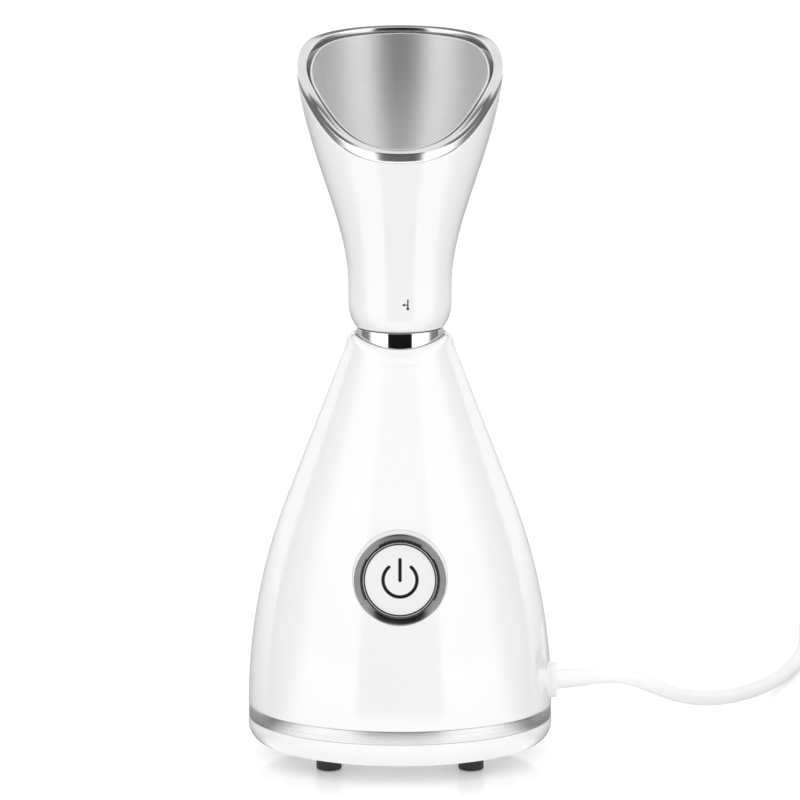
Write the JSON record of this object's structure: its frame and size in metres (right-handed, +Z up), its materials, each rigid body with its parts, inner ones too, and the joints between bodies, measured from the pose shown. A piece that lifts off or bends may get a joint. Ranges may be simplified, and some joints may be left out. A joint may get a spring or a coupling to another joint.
{
  "type": "facial steamer",
  "caption": "Vase-shaped facial steamer: white casing with boiler and tank, power button, flared steam head with sloping mouth, mains lead with two-pin plug.",
  "frame": {"origin": "on the floor, at the middle of the base", "axes": "+Z up, front with the power button towards -Y, mains lead leaves towards +X"},
  "size_m": [0.2989, 0.3097, 0.2633],
  "materials": {
    "gloss_white": "gloss",
    "white_cord": "satin",
    "chrome": "mirror",
    "dark_chrome": "mirror",
    "satin_steel": "brushed",
    "clear_tank": "gloss",
    "white_plastic": "matte",
    "black_rubber": "matte",
    "black_plastic": "satin",
    "cast_aluminium": "satin",
    "ceramic": "matte",
    "board_green": "satin",
    "capacitor_yellow": "gloss",
    "terminal_blue": "satin",
    "fuse_glass": "clear",
    "wire_red": "satin",
    "screw_steel": "satin",
    "nickel": "polished"
  },
  "bodies": {
    "base": {"base_pan": "gloss_white", "body_shell": "gloss_white", "cord_bush": "white_cord", "mains_cord": "white_cord", "cord_coil": "white_cord", "cord_tail": "white_cord", "supply_lead": "white_cord", "button_bezel": "dark_chrome", "chrome_strip": "satin_steel", "heater_clamp": "satin_steel", "water_tank": "clear_tank", "steam_tube": "white_plastic", "inner_frame": "white_plastic", "switch_housing": "white_plastic", "cord_clamp": "white_plastic", "rubber_feet": "black_rubber", "tank_seal": "black_rubber", "plug_body": "black_plastic", "relay": "black_plastic", "tact_switch": "black_plastic", "cord_tie": "black_plastic", "switch_connector": "black_plastic", "boiler_cup": "cast_aluminium", "heater_plate": "ceramic", "thermostat": "ceramic", "thermal_fuse": "ceramic", "circuit_board": "board_green", "switch_board": "board_green", "filter_capacitor": "capacitor_yellow", "terminal_block": "terminal_blue", "board_fuse": "fuse_glass", "heater_leads": "wire_red", "switch_lead": "wire_red", "base_screws": "screw_steel", "frame_screws": "screw_steel", "boiler_screws": "screw_steel", "heater_screws": "screw_steel", "board_screws": "screw_steel", "clamp_screws": "screw_steel", "plug_pins": "nickel"},
    "neck": {"neck_ring": "chrome", "neck_spigot": "white_plastic", "neck_oring": "black_rubber"},
    "head": {"head_shell": "gloss_white", "head_trim": "chrome", "head_liner": "satin_steel", "steam_nozzle": "white_plastic"},
    "power_button": {"button_cap": "gloss_white", "switch_stem": "black_plastic"}
  },
  "joints": [
    {"name": "neck_lift", "type": "slide", "parent": "base", "child": "neck", "axis": [0, 0, 1], "range_m": [0, 0.045]},
    {"name": "head_turn", "type": "hinge", "parent": "neck", "child": "head", "pos_m": [0, 0, 0.1586], "axis": [0, 0, 1], "range_deg": [-45, 0]},
    {"name": "power_button_press", "type": "slide", "parent": "base", "child": "power_button", "axis": [0, 0.9662, -0.2579], "range_m": [0, 0.0012], "stiffness_N_per_m": 800, "springref_m": -0.0005}
  ]
}
